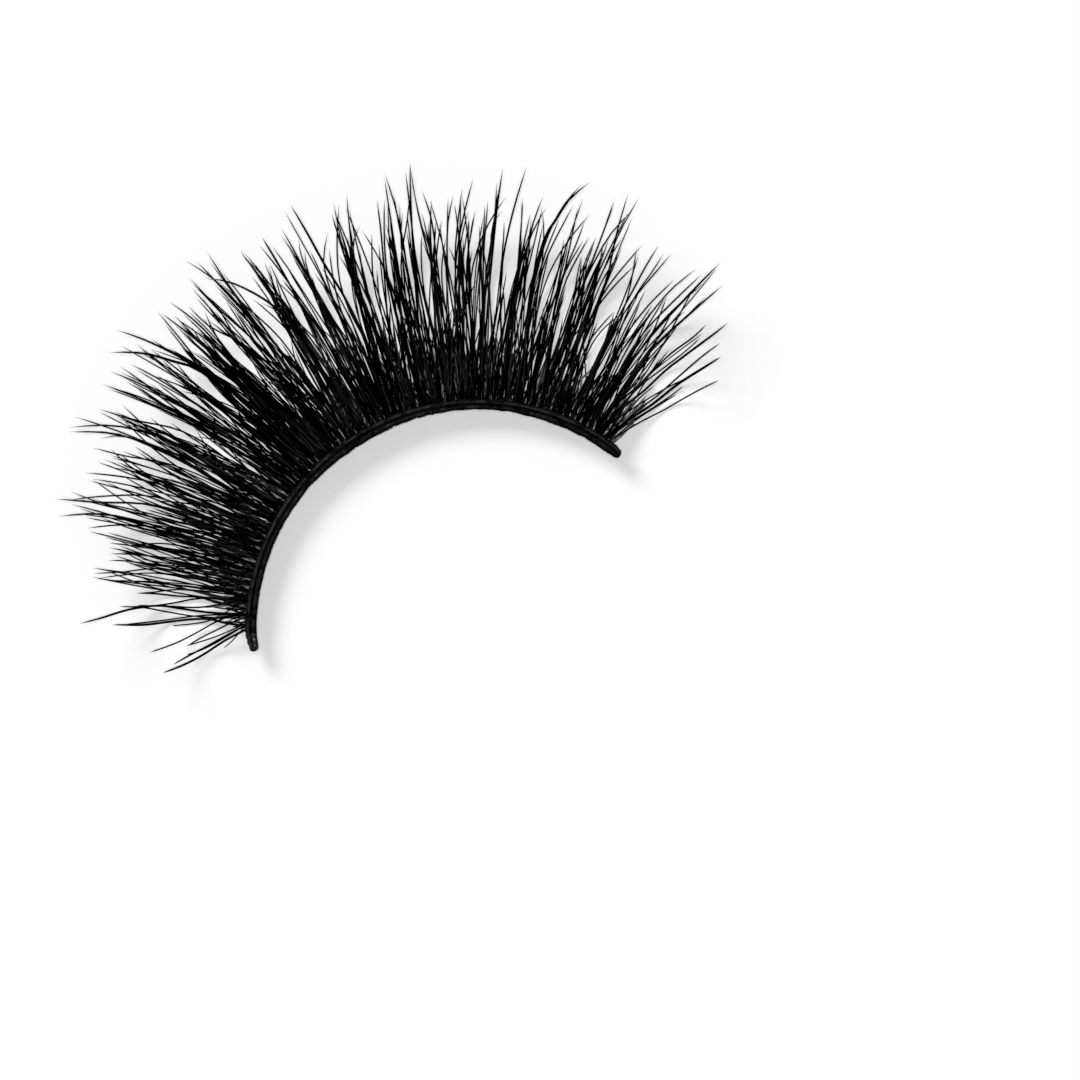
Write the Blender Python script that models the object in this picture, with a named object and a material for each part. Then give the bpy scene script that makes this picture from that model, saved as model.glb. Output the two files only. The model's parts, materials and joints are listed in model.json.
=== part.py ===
"""A false eyelash strip, lying on its belly with its tips curled up.

A thin band follows the arc of an eyelid's edge. Tufts of hair stand along the band's outer edge. Each tuft is
a dense web at its root that forks into pointed locks, and all of them follow one curved layer, which drops
from the band to a belly and then rises to the tips.

A place on the strip is given by two distances. "along" runs along the band from its left end, and "out" runs
outwards from the band's concave edge. Everything is in metres, +Z is up, and the middle tips point to +Y.
"""

import math
from collections import namedtuple

import bmesh
import bpy
from mathutils import Vector

MM = 0.001

# The band's plan: an arc, with "along" measured near the middle of its width
BAND_LENGTH = 34.0 * MM
BAND_RADIUS = 14.24 * MM
BAND_WIDTH = 0.7 * MM
BAND_HEIGHT = 1.7 * MM
CHART_RADIUS = BAND_RADIUS + 0.4 * MM

# The band's section, in shares of its width and then in mm of height about its middle: a thin film at the
# concave edge and a round ridge, where the hairs are tied, at the outer edge
BandPoint = namedtuple("BandPoint", "width_share height_mm")
BAND_SECTION = (
    BandPoint(0.00, -0.17),
    BandPoint(0.00, 0.13),
    BandPoint(0.10, 0.17),
    BandPoint(0.44, 0.17),
    BandPoint(0.56, 0.27),
    BandPoint(0.76, 0.29),
    BandPoint(0.93, 0.20),
    BandPoint(1.00, 0.04),
    BandPoint(1.00, -0.14),
    BandPoint(0.90, -0.25),
    BandPoint(0.12, -0.25),
)

# The band's ends, in mm: where each ring stands, its two edges, and its share of the full height. Between
# them the band keeps its full section, in facets of one length set out from the crown
BandRing = namedtuple("BandRing", "along inner outer height_share")
LEFT_END = (
    BandRing(-0.13, 0.14, 0.28, 0.45),
    BandRing(-0.06, 0.04, 0.38, 0.80),
    BandRing(0.06, 0.00, 0.43, 0.95),
    BandRing(0.60, 0.00, 0.58, 1.00),
    BandRing(1.25, 0.00, 0.70, 1.00),
)
RIGHT_END = (
    BandRing(33.30, 0.00, 0.68, 1.00),
    BandRing(33.85, 0.00, 0.60, 1.00),
    BandRing(34.05, 0.03, 0.50, 0.90),
    BandRing(34.16, 0.12, 0.36, 0.50),
)
BAND_FACET = 1.2 * MM
BAND_FACETS = 25

# The layer of hair: how far it reaches along the band, and its height from the band to the tips
ReachRow = namedtuple("ReachRow", "along reach")
REACH = (
    ReachRow(-1.0, 5.8),
    ReachRow(0.4, 7.2),
    ReachRow(2.0, 10.4),
    ReachRow(5.4, 13.7),
    ReachRow(8.5, 15.2),
    ReachRow(12.0, 15.7),
    ReachRow(28.0, 15.5),
    ReachRow(31.0, 13.9),
    ReachRow(33.0, 13.0),
    ReachRow(35.6, 8.2),
)
ROOT_OUT = BAND_WIDTH + 0.1 * MM
BELLY_SHARE = 0.4
BELLY_HEIGHT = 0.2 * MM
CURL_SHARE = 0.36
FLOOR_REACH = 9.0 * MM
SHORT_HAIR_LIFT = 0.2

# The locks: spacing of their sections, where they part from each other, and how they taper
ROW_STEP = 1.2 * MM
FORK_SHARE = 0.27
TUFT_GAP = 0.1 * MM
LOCK_FULLNESS = 0.9
LOCK_TAPER = 0.8
HAIR_DEPTH = 0.24 * MM
TIP_DEPTH = 0.02 * MM
DEPTH_TAPER = 0.7
EDGE_DEPTH_SHARE = 0.45
LAST_ROW_SHARE = 0.6

# The tufts, in mm: the stretch of band that holds each one's roots, how far its locks bow back from a
# straight lean, and each lock's tip as (along, out)
TuftRow = namedtuple("TuftRow", "root_from root_to bow tips")
TUFTS = (
    TuftRow(1.20, 1.90, -0.3, ((-0.65, 6.1), (0.35, 6.7))),
    TuftRow(1.90, 3.00, 0.0, ((1.45, 9.2), (1.95, 10.8), (2.80, 7.7))),
    TuftRow(
        *(3.00, 5.20, 0.1),
        ((3.25, 10.7), (3.65, 10.8), (4.10, 10.0), (4.60, 10.1), (4.95, 11.7)),
    ),
    TuftRow(5.20, 7.30, 0.2, ((5.20, 13.6), (5.65, 14.1), (6.05, 13.3), (6.70, 12.8))),
    TuftRow(7.30, 8.70, 0.2, ((7.25, 12.5), (7.65, 13.1), (8.00, 14.9))),
    TuftRow(8.70, 10.50, 0.2, ((8.35, 14.9), (8.95, 13.8), (9.40, 12.8))),
    TuftRow(10.50, 11.70, 0.2, ((9.75, 14.5), (10.20, 14.6), (10.60, 14.2))),
    TuftRow(11.70, 13.00, 0.4, ((10.90, 15.3), (11.40, 15.7), (11.90, 13.9), (12.45, 12.5))),
    TuftRow(
        *(13.00, 15.70, 0.3),
        ((12.75, 14.8), (13.20, 14.8), (13.60, 13.6), (14.10, 14.9), (14.60, 15.9), (15.10, 15.7)),
    ),
    TuftRow(
        *(15.70, 18.50, 0.2),
        ((15.55, 11.6), (16.05, 14.6), (16.75, 14.5), (17.15, 13.7), (17.55, 14.5), (18.15, 15.6)),
    ),
    TuftRow(18.50, 20.30, 0.3, ((18.85, 13.1), (19.40, 14.9), (19.90, 15.0), (20.30, 12.5))),
    TuftRow(20.30, 22.20, 0.4, ((20.80, 14.3), (21.25, 15.7), (21.65, 13.4), (22.05, 16.2))),
    TuftRow(
        *(22.20, 25.00, 0.4),
        ((22.45, 14.2), (22.90, 12.4), (23.45, 14.0), (24.05, 14.8), (24.50, 13.3), (25.00, 15.4)),
    ),
    TuftRow(25.00, 27.00, 0.5, ((25.70, 15.7), (26.10, 12.9), (26.45, 13.9), (26.85, 13.2))),
    TuftRow(
        *(27.00, 29.90, 0.5),
        ((27.65, 15.4), (28.05, 13.5), (28.65, 14.9), (29.10, 15.4), (29.50, 15.2)),
    ),
    TuftRow(29.90, 31.80, 0.2, ((30.05, 12.7), (30.60, 13.1), (31.10, 13.0), (31.60, 11.6))),
    TuftRow(31.80, 32.60, 0.1, ((32.15, 12.9), (32.65, 14.0), (33.20, 12.9))),
    TuftRow(32.60, 33.30, -0.1, ((33.65, 10.3), (34.20, 11.2), (34.80, 9.4), (35.40, 8.1))),
)

BAND_COLOUR = (0.012, 0.012, 0.013, 1.0)
BAND_ROUGHNESS = 0.45
HAIR_COLOUR = (0.008, 0.007, 0.008, 1.0)
HAIR_ROUGHNESS = 0.38
SHARP_ANGLE = math.radians(40)

Lock = namedtuple("Lock", "tuft root tip reach bow")


def remove_everything():
    """Leave an empty scene."""
    for thing in list(bpy.data.objects):
        bpy.data.objects.remove(thing, do_unlink=True)


def strip_point(along, out, height):
    """The point at a place on the strip, on the arc about the vertical through the arc's centre."""
    turn = math.pi / 2 + (BAND_LENGTH / 2 - along) / CHART_RADIUS
    radius = BAND_RADIUS + out
    return Vector((radius * math.cos(turn), radius * math.sin(turn), height))


def reach_at(along):
    """How far the hair reaches here, eased from row to row of REACH."""
    here = along / MM
    if here <= REACH[0].along:
        return REACH[0].reach * MM
    for before, after in zip(REACH, REACH[1:]):
        if here <= after.along:
            share = (here - before.along) / (after.along - before.along)
            eased = 0.5 - 0.5 * math.cos(math.pi * share)
            return (before.reach + (after.reach - before.reach) * eased) * MM
    return REACH[-1].reach * MM


def layer_height(along, out):
    """Height of the middle of the hair layer: down from the band to the belly, then up the curl."""
    reach = reach_at(along)
    run = out - ROOT_OUT
    belly = BELLY_SHARE * (reach - ROOT_OUT)
    low = BELLY_HEIGHT + SHORT_HAIR_LIFT * max(0.0, FLOOR_REACH - reach)
    if run < belly:
        return low + (BAND_HEIGHT - low) * (1 - run / belly) ** 2
    climb = (run - belly) / (reach - ROOT_OUT - belly)
    return low + CURL_SHARE * reach * climb**2


def all_locks():
    """Every lock from left to right, with its root set evenly in its tuft's stretch of band."""
    locks = []
    for number, row in enumerate(TUFTS):
        pitch = (row.root_to - row.root_from) / len(row.tips)
        for place, (tip, reach) in enumerate(row.tips):
            root = row.root_from + (place + 0.5) * pitch
            locks.append(Lock(number, root * MM, tip * MM, reach * MM, row.bow))
    return locks


def lock_middle(lock, out):
    """Where a lock's middle is along the band, at a distance out. Past its tip it stays at the tip."""
    share = min(1.0, (out - ROOT_OUT) / (lock.reach - ROOT_OUT))
    swept = share * (1 + lock.bow * (share - 1))
    return lock.root + (lock.tip - lock.root) * swept


def border(locks, number, out):
    """Where the border on the left of a lock lies. The strip's two outer borders mirror their neighbours."""
    if number == 0:
        first, second = (lock_middle(lock, out) for lock in locks[:2])
        return first - (second - first) / 2
    if number == len(locks):
        before, last = (lock_middle(lock, out) for lock in locks[-2:])
        return last + (last - before) / 2
    return (lock_middle(locks[number - 1], out) + lock_middle(locks[number], out)) / 2


def row_out(row):
    return ROOT_OUT + row * ROW_STEP


def fork_row(locks, number):
    """The row where the two locks beside a border part. Every other fork lies one row further out."""
    shorter = min(locks[number - 1].reach, locks[number].reach)
    return max(1, round(FORK_SHARE * shorter / ROW_STEP) + number % 2)


def half_depth(lock, out):
    share = min(1.0, (out - ROOT_OUT) / (lock.reach - ROOT_OUT))
    return TIP_DEPTH + (HAIR_DEPTH - TIP_DEPTH) * (1 - share) ** DEPTH_TAPER


def narrowed(lock, out, fork):
    """The share of the way to its border that a lock's edge keeps, past the place where it parts."""
    share = (out - fork) / (lock.reach - fork)
    return LOCK_FULLNESS * (1 - share) ** LOCK_TAPER


def upright_pair(mesh, along, out, depth):
    """Two vertices, above and below the middle of the hair layer."""
    middle = layer_height(along, out)
    return tuple(mesh.verts.new(strip_point(along, out, middle + side * depth)) for side in (1, -1))


class Tuft:
    """Builds one tuft's mesh from its locks, row by row. Neighbours share their border up to their fork."""

    def __init__(self, locks, first, last):
        self.locks = locks
        self.first = first
        self.last = last
        self.mesh = bmesh.new()
        self.shared = {}

    def fork(self, number):
        """The fork's row on a border inside the tuft, or 0 on the tuft's own two outer borders."""
        if self.first < number <= self.last:
            return fork_row(self.locks, number)
        return 0

    def edge(self, lock_number, side, row):
        """The two vertices of a lock's left (0) or right (1) edge at a row."""
        lock = self.locks[lock_number]
        number = lock_number + side
        out = row_out(row)
        fork = self.fork(number)
        line = border(self.locks, number, out)
        if fork and row <= fork:
            if (number, row) not in self.shared:
                depth = EDGE_DEPTH_SHARE * half_depth(lock, out)
                self.shared[number, row] = upright_pair(self.mesh, line, out, depth)
            return self.shared[number, row]
        if not fork:
            inwards = 1 if side == 0 else -1
            line += inwards * TUFT_GAP / 2
        middle = lock_middle(lock, out)
        parted = max(row_out(fork), row_out(1))
        if out > parted:
            line = middle + (line - middle) * narrowed(lock, out, parted)
        return upright_pair(self.mesh, line, out, EDGE_DEPTH_SHARE * half_depth(lock, out))

    def section(self, lock_number, row):
        """A lock's left edge, middle and right edge at a row, each as two vertices, above and below."""
        lock = self.locks[lock_number]
        out = row_out(row)
        left = self.edge(lock_number, 0, row)
        middle = upright_pair(self.mesh, lock_middle(lock, out), out, half_depth(lock, out))
        return left, middle, self.edge(lock_number, 1, row)

    def add_lock(self, lock_number):
        lock = self.locks[lock_number]
        forks = self.fork(lock_number), self.fork(lock_number + 1)
        rows = int((lock.reach - LAST_ROW_SHARE * ROW_STEP - ROOT_OUT) / ROW_STEP)
        sections = [self.section(lock_number, row) for row in range(rows + 1)]
        face = self.mesh.faces.new
        (left, middle, right) = sections[0]
        face((left[0], middle[0], right[0], right[1], middle[1], left[1]))
        for row, (near, far) in enumerate(zip(sections, sections[1:])):
            for a, b in ((0, 1), (1, 2)):
                face((near[a][0], far[a][0], far[b][0], near[b][0]))
                face((near[a][1], near[b][1], far[b][1], far[a][1]))
            for side, fork in zip((0, 2), forks):
                if row + 1 > fork:
                    face((near[side][0], near[side][1], far[side][1], far[side][0]))
        height = layer_height(lock.tip, lock.reach)
        tip = self.mesh.verts.new(strip_point(lock.tip, lock.reach, height))
        left, middle, right = sections[-1]
        loop = (left[0], middle[0], right[0], right[1], middle[1], left[1])
        for one, other in zip(loop, loop[1:] + loop[:1]):
            face((one, tip, other))

    def build(self):
        for number in range(self.first, self.last + 1):
            self.add_lock(number)
        return self.mesh


def band_ring(mesh, ring):
    """One ring of the band's section, between the ring's own edges."""
    width = ring.outer - ring.inner
    return [
        mesh.verts.new(
            strip_point(
                ring.along * MM,
                (ring.inner + point.width_share * width) * MM,
                BAND_HEIGHT + point.height_mm * ring.height_share * MM,
            )
        )
        for point in BAND_SECTION
    ]


def band_rings():
    """The rings from left to right. The full ones are spaced so that one facet is centred on the crown."""
    crown = BAND_LENGTH / 2 / MM
    first = crown - BAND_FACETS * BAND_FACET / 2 / MM
    full = [
        BandRing(first + number * BAND_FACET / MM, 0.0, BAND_WIDTH / MM, 1.0)
        for number in range(BAND_FACETS + 1)
    ]
    return (*LEFT_END, *full, *RIGHT_END)


def band_mesh():
    mesh = bmesh.new()
    rings = [band_ring(mesh, ring) for ring in band_rings()]
    for near, far in zip(rings, rings[1:]):
        for place in range(len(near)):
            after = (place + 1) % len(near)
            mesh.faces.new((near[place], far[place], far[after], near[after]))
    mesh.faces.new(rings[0])
    mesh.faces.new(reversed(rings[-1]))
    return mesh


def black_material(name, colour, roughness):
    material = bpy.data.materials.new(name)
    material.use_nodes = True
    shader = material.node_tree.nodes["Principled BSDF"]
    shader.inputs["Base Color"].default_value = colour
    shader.inputs["Roughness"].default_value = roughness
    shader.inputs["Metallic"].default_value = 0.0
    return material


def add_piece(name, built, material, holder):
    """Make an object of a finished mesh, held by the strip's empty."""
    bmesh.ops.recalc_face_normals(built, faces=built.faces)
    data = bpy.data.meshes.new(name)
    built.to_mesh(data)
    built.free()
    data.materials.append(material)
    data.shade_smooth()
    data.set_sharp_from_angle(angle=SHARP_ANGLE)
    piece = bpy.data.objects.new(name, data)
    bpy.context.scene.collection.objects.link(piece)
    piece.parent = holder
    return piece


def stand_on_origin(holder, pieces):
    """Move the strip so that its box is centred over the origin and its belly lies at height 0."""
    points = [vertex.co for piece in pieces for vertex in piece.data.vertices]
    low = [min(point[axis] for point in points) for axis in range(3)]
    high = [max(point[axis] for point in points) for axis in range(3)]
    holder.location = (-(low[0] + high[0]) / 2, -(low[1] + high[1]) / 2, -low[2])


def main():
    remove_everything()
    holder = bpy.data.objects.new("lash_strip", None)
    bpy.context.scene.collection.objects.link(holder)
    band = black_material("lash_band", BAND_COLOUR, BAND_ROUGHNESS)
    hair = black_material("lash_hair", HAIR_COLOUR, HAIR_ROUGHNESS)
    pieces = [add_piece("lash_band", band_mesh(), band, holder)]
    locks = all_locks()
    for number in range(len(TUFTS)):
        own = [place for place, lock in enumerate(locks) if lock.tuft == number]
        tuft = Tuft(locks, own[0], own[-1]).build()
        pieces.append(add_piece(f"lash_tuft_{number + 1:02d}", tuft, hair, holder))
    stand_on_origin(holder, pieces)


main()
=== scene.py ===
"""The looks of a false eyelash strip: its single hairs, its band of thread and glue, and a white floor.

A place on the strip is given by two distances, as in the part's source. "along" runs along the band from its
left end, and "out" runs outwards from the band's concave edge. Tables that say so are in mm, and the rest is
in metres.
"""

import json
import math
from collections import namedtuple

import bpy
import numpy as np
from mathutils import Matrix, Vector


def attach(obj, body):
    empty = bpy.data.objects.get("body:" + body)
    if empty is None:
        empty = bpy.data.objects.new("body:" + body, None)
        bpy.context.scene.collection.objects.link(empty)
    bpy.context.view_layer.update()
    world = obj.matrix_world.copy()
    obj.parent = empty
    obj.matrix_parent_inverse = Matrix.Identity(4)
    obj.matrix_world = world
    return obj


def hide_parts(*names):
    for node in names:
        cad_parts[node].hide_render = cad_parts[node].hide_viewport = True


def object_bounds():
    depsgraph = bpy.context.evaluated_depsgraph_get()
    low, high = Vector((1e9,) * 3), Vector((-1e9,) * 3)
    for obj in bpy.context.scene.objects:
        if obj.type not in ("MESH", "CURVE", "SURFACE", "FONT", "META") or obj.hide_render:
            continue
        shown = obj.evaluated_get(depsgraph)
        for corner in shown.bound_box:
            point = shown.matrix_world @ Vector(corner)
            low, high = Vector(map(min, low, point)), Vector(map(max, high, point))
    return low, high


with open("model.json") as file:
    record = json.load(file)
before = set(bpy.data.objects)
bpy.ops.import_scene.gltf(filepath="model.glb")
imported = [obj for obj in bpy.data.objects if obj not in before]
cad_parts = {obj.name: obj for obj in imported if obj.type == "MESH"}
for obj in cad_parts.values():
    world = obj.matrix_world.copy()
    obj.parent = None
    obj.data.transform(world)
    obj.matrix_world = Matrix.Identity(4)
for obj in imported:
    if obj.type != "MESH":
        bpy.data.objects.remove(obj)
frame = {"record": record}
cad_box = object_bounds()

MM = 0.001

# The band's arc, with the values of the part's source
BAND_LENGTH = 34.0 * MM
BAND_RADIUS = 14.24 * MM
BAND_WIDTH = 0.7 * MM
BAND_HEIGHT = 1.7 * MM
BAND_FACET = 1.2 * MM
CHART_RADIUS = BAND_RADIUS + 0.4 * MM
FACE_BELOW_MIDDLE = 0.02 * MM

# How far out the hair reaches along the band, in mm, with the values of the part's source
ReachRow = namedtuple("ReachRow", "along reach")
REACH = (
    ReachRow(-1.0, 5.8),
    ReachRow(0.4, 7.2),
    ReachRow(2.0, 10.4),
    ReachRow(5.4, 13.7),
    ReachRow(8.5, 15.2),
    ReachRow(12.0, 15.7),
    ReachRow(28.0, 15.5),
    ReachRow(31.0, 13.9),
    ReachRow(33.0, 13.0),
    ReachRow(35.6, 8.2),
)

# The layer of hair, with the values of the part's source. It drops from the band to a belly, at a share of
# its reach, and then curls up. Where it reaches less than FLOOR_REACH, its belly is higher
ROOT_OUT = BAND_WIDTH + 0.1 * MM
BELLY_SHARE = 0.4
BELLY_HEIGHT = 0.2 * MM
CURL_SHARE = 0.36
FLOOR_REACH = 9.0 * MM
SHORT_HAIR_LIFT = 0.2

# The band's section, with the values of the part's source: how far across the band, and the height in mm
SectionRow = namedtuple("SectionRow", "across height")
BAND_SECTION = (
    SectionRow(0, -0.17), SectionRow(0, 0.13), SectionRow(0.10, 0.17), SectionRow(0.44, 0.17),
    SectionRow(0.56, 0.27), SectionRow(0.76, 0.29), SectionRow(0.93, 0.20), SectionRow(1, 0.04),
    SectionRow(1, -0.14), SectionRow(0.90, -0.25), SectionRow(0.12, -0.25),
)

# How the band narrows at its two ends, in mm, with the share of its full height
BandRow = namedtuple("BandRow", "along inner outer height")
BAND_RINGS = (
    BandRow(-0.13, 0.14, 0.28, 0.45), BandRow(-0.06, 0.04, 0.38, 0.80), BandRow(0.06, 0.0, 0.43, 0.95),
    BandRow(0.60, 0.0, 0.58, 1.0), BandRow(1.25, 0.0, 0.70, 1.0), BandRow(33.30, 0.0, 0.68, 1.0),
    BandRow(33.85, 0.0, 0.60, 1.0), BandRow(34.05, 0.03, 0.50, 0.90), BandRow(34.16, 0.12, 0.36, 0.50),
)

# Where the dried glue's concave edge wanders to, in mm, and the nicks and drips in it: how long, and how far
# each one stands out or, with a minus, cuts in
EdgeRow = namedtuple("EdgeRow", "along out")
GLUE_EDGE = (
    EdgeRow(-0.2, -0.06), EdgeRow(0.2, -0.10), EdgeRow(0.9, -0.05), EdgeRow(1.6, -0.01), EdgeRow(12.0, 0.0),
    EdgeRow(13.2, -0.05), EdgeRow(15.4, -0.08), EdgeRow(18.2, -0.06), EdgeRow(18.7, -0.02),
    EdgeRow(21.0, 0.01), EdgeRow(24.2, 0.04), EdgeRow(26.6, 0.04), EdgeRow(27.2, -0.02),
    EdgeRow(30.2, -0.04), EdgeRow(33.4, -0.04), EdgeRow(34.2, 0.01),
)
NickRow = namedtuple("NickRow", "along length depth")
NICKS = (
    NickRow(11.8, 0.16, -0.05), NickRow(12.2, 0.3, 0.03), NickRow(14.9, 0.5, 0.02),
    NickRow(15.6, 0.2, -0.05), NickRow(18.5, 0.24, -0.06), NickRow(20.1, 0.14, -0.04),
    NickRow(20.8, 0.16, -0.05), NickRow(21.2, 0.4, 0.04), NickRow(21.6, 0.12, -0.04),
    NickRow(25.7, 0.5, 0.03),
)

# How the band is drawn. Shares are of its width, and the twisted thread is a wave that slants outwards. Its
# materials are numbered: the film is 0
BAND_STEP = 0.05 * MM
SECTION_POINTS = 30
EDGE_ROUNDING = 0.05 * MM
EDGE_SHARE = 0.2
RIDGE_MIDDLE = 0.72
RIDGE_HALF_WIDTH = 0.3
THREAD_FROM, THREAD_TO = 0.60, 0.92
THREAD_PITCH = 0.21 * MM
THREAD_DEPTH = 0.012 * MM
THREAD_SLANT = 1.3 / (0.1 * MM)
ROOT_SIDE_FROM = 0.85
ROOT_SIDE_WIDTH = 0.15
KNOT_DEPTH = 0.022 * MM
TAIL_LENGTH = 1.0 * MM
THREAD, TAIL = 1, 2

# The band's seeded unevenness: how many steps apart its ups and downs are, and their size. The last one is a
# share of the knots' depth
GLUE_SWELL = (9, 0.015 * MM)
GLUE_GRAIN = (3, 0.008 * MM)
KNOT_SWELL = (2, 0.35)
BAND_SEED = 7

# The tufts, in mm: the stretch of band that holds each one's roots, how far its locks bow back from a
# straight lean, how many short hairs each mm of band has before SHORT_FILL, and each lock's tip as
# (along, out)
TuftRow = namedtuple("TuftRow", "root_from root_to bow short tips")
TUFTS = (
    TuftRow(1.20, 1.90, -0.3, 2, ((-0.65, 6.1), (0.35, 6.7))),
    TuftRow(1.90, 3.00, 0.0, 5, ((1.45, 9.2), (1.95, 10.8), (2.80, 7.7))),
    TuftRow(
        3.00, 5.20, 0.1, 12,
        ((3.25, 10.7), (3.65, 10.8), (4.10, 10.0), (4.60, 10.1), (4.95, 11.7)),
    ),
    TuftRow(5.20, 7.30, 0.2, 13, ((5.20, 13.6), (5.65, 14.1), (6.05, 13.3), (6.70, 12.8))),
    TuftRow(7.30, 8.70, 0.2, 17, ((7.25, 12.5), (7.65, 13.1), (8.00, 14.9))),
    TuftRow(8.70, 10.50, 0.2, 21, ((8.35, 14.9), (8.95, 13.8), (9.40, 12.8))),
    TuftRow(10.50, 11.70, 0.2, 24, ((9.75, 14.5), (10.20, 14.6), (10.60, 14.2))),
    TuftRow(11.70, 13.00, 0.4, 24, ((10.90, 15.3), (11.40, 15.7), (11.90, 13.9), (12.45, 12.5))),
    TuftRow(
        13.00, 15.70, 0.3, 26,
        ((12.75, 14.8), (13.20, 14.8), (13.60, 13.6), (14.10, 14.9), (14.60, 15.9), (15.10, 15.7)),
    ),
    TuftRow(
        15.70, 18.50, 0.2, 26,
        ((15.55, 11.6), (16.05, 14.6), (16.75, 14.5), (17.15, 13.7), (17.55, 14.5), (18.15, 15.6)),
    ),
    TuftRow(18.50, 20.30, 0.3, 26, ((18.85, 13.1), (19.40, 14.9), (19.90, 15.0), (20.30, 12.5))),
    TuftRow(20.30, 22.20, 0.4, 26, ((20.80, 14.3), (21.25, 15.7), (21.65, 13.4), (22.05, 16.2))),
    TuftRow(
        22.20, 25.00, 0.4, 22,
        ((22.45, 14.2), (22.90, 12.4), (23.45, 14.0), (24.05, 14.8), (24.50, 13.3), (25.00, 15.4)),
    ),
    TuftRow(25.00, 27.00, 0.5, 15, ((25.70, 15.7), (26.10, 12.9), (26.45, 13.9), (26.85, 13.2))),
    TuftRow(
        27.00, 29.90, 0.5, 11,
        ((27.65, 15.4), (28.05, 13.5), (28.65, 14.9), (29.10, 15.4), (29.50, 15.2)),
    ),
    TuftRow(29.90, 31.80, 0.2, 10, ((30.05, 12.7), (30.60, 13.1), (31.10, 13.0), (31.60, 11.6))),
    TuftRow(31.80, 32.60, 0.1, 7, ((32.15, 12.9), (32.65, 14.0), (33.20, 12.9))),
    TuftRow(32.60, 33.30, -0.1, 2, ((33.65, 10.3), (34.20, 11.2), (34.80, 9.4), (35.40, 8.1))),
)

# The knots, in mm: places where hairs draw together and cross before their tips part again, and about how
# many hairs each one holds
Knot = namedtuple("Knot", "along out hairs")
KNOTS = (
    Knot(3.4, 5.2, 3), Knot(3.9, 5.4, 3), Knot(4.5, 5.3, 3), Knot(5.0, 5.0, 4), Knot(5.5, 5.4, 4),
    Knot(6.0, 5.2, 4), Knot(6.5, 5.2, 4), Knot(7.0, 5.4, 3), Knot(7.5, 5.6, 3), Knot(8.2, 6.0, 4),
    Knot(3.3, 7.6, 3), Knot(3.6, 7.8, 2), Knot(4.15, 7.6, 4), Knot(4.5, 8.2, 3), Knot(4.9, 7.6, 4),
    Knot(5.5, 8.8, 2), Knot(5.75, 8.2, 5), Knot(6.15, 7.4, 4), Knot(6.6, 7.6, 3), Knot(7.05, 7.6, 3),
    Knot(7.4, 8.8, 4), Knot(7.65, 8.0, 6), Knot(8.3, 8.8, 4), Knot(8.75, 9.6, 4), Knot(9.2, 9.4, 9),
    Knot(9.5, 8.0, 7), Knot(10.25, 8.8, 4), Knot(10.5, 8.2, 5), Knot(10.85, 8.0, 6),
    Knot(11.15, 9.2, 3), Knot(11.5, 8.8, 5), Knot(11.75, 7.8, 5), Knot(12.35, 9.2, 8),
    Knot(12.5, 7.6, 8), Knot(13.0, 6.6, 6), Knot(13.15, 8.6, 9), Knot(13.4, 7.2, 10),
    Knot(13.5, 10.0, 4), Knot(14.05, 9.0, 3), Knot(14.25, 8.0, 7), Knot(14.6, 8.2, 4),
    Knot(14.9, 8.6, 5), Knot(15.15, 7.6, 4), Knot(15.35, 5.6, 3),
    Knot(15.9, 9.6, 4), Knot(16.15, 9.0, 9), Knot(16.35, 7.4, 8), Knot(16.9, 8.4, 5),
    Knot(17.25, 9.0, 4), Knot(17.65, 8.0, 9), Knot(18.1, 8.6, 4), Knot(18.4, 9.0, 3),
    Knot(19.15, 8.4, 6), Knot(19.3, 9.8, 8), Knot(19.6, 8.8, 3), Knot(20.0, 8.0, 2),
    Knot(20.45, 8.4, 5), Knot(20.9, 8.4, 8), Knot(21.25, 9.4, 5), Knot(21.65, 8.4, 6),
    Knot(22.35, 8.6, 9), Knot(22.95, 8.2, 4), Knot(23.3, 9.2, 4), Knot(23.5, 8.0, 7),
    Knot(23.85, 8.4, 4), Knot(24.25, 8.8, 6), Knot(24.5, 7.8, 3), Knot(25.05, 9.0, 2),
    Knot(25.75, 7.8, 6), Knot(25.95, 9.2, 3), Knot(26.1, 8.4, 4), Knot(26.5, 8.6, 4),
    Knot(25.2, 5.6, 2), Knot(26.6, 5.8, 4), Knot(27.2, 5.6, 3), Knot(27.8, 5.4, 4),
    Knot(27.0, 8.4, 2), Knot(27.4, 8.0, 4), Knot(27.6, 9.4, 2), Knot(28.4, 8.2, 5),
    Knot(28.4, 5.6, 4), Knot(29.0, 5.4, 4), Knot(29.6, 5.0, 2), Knot(30.4, 4.6, 3),
    Knot(28.5, 9.4, 3), Knot(28.85, 8.6, 5), Knot(29.3, 8.6, 2), Knot(29.4, 7.2, 2),
    Knot(31.0, 5.0, 4), Knot(31.6, 5.0, 4), Knot(32.2, 4.6, 3), Knot(30.15, 7.2, 3),
    Knot(30.4, 8.6, 3), Knot(30.95, 7.0, 3), Knot(31.35, 7.4, 2), Knot(31.65, 8.0, 2),
    Knot(31.9, 7.6, 2), Knot(32.25, 6.8, 4), Knot(32.55, 8.4, 2), Knot(32.85, 5.6, 2),
)

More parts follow.
